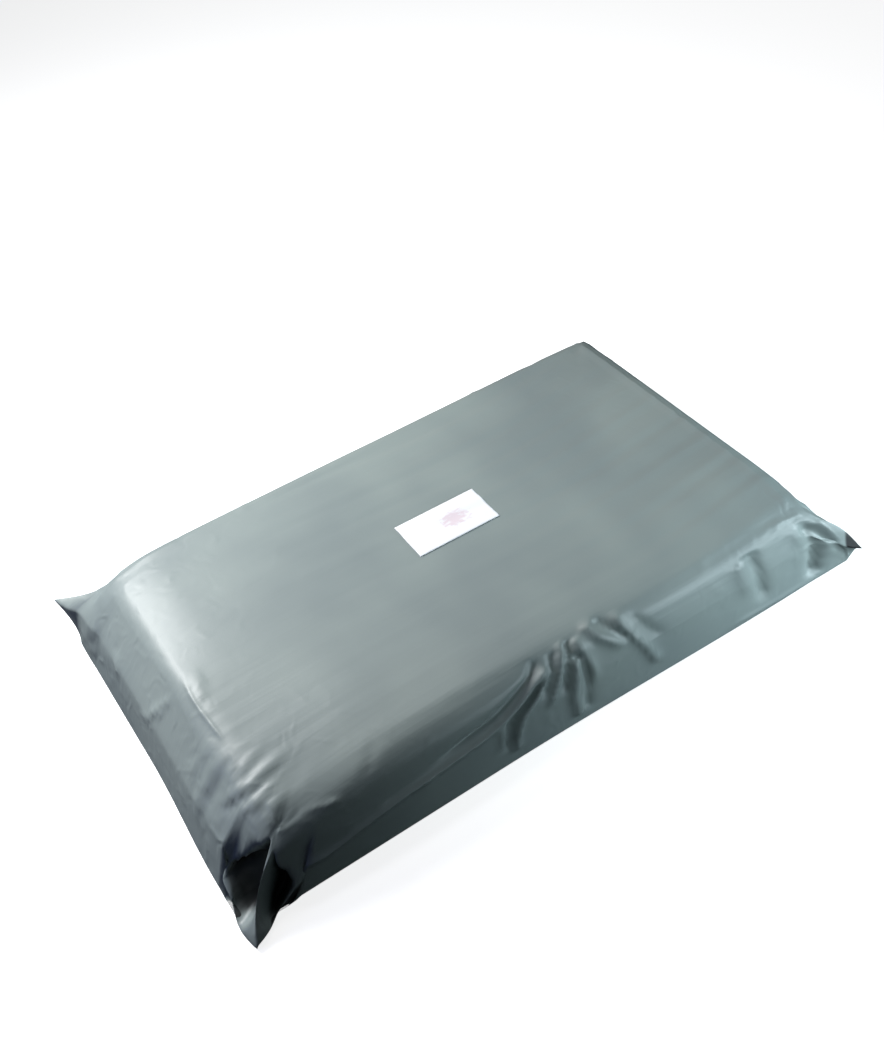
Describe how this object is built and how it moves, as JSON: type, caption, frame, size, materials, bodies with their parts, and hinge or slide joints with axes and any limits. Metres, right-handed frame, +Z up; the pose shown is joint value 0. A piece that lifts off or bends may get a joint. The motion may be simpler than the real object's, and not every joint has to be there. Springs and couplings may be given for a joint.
{
  "type": "poly mailer bag",
  "caption": "Sealed grey polythene mailing bag, packed flat like a cushion, with folded corner ears and a bare paper label on top.",
  "frame": {"origin": "bottom centre of the whole part, ears included, on the surface that it rests on", "axes": "+X along the bag towards the end with the closing flap, +Y across it, +Z up out of the labelled face"},
  "size_m": [0.4868, 0.2868, 0.0699],
  "materials": {
    "film": "grey blown polythene film with a soft gloss",
    "label": "white uncoated label paper"
  },
  "bodies": {
    "root": {"mailer_bag": "film", "address_label": "label"}
  },
  "joints": []
}
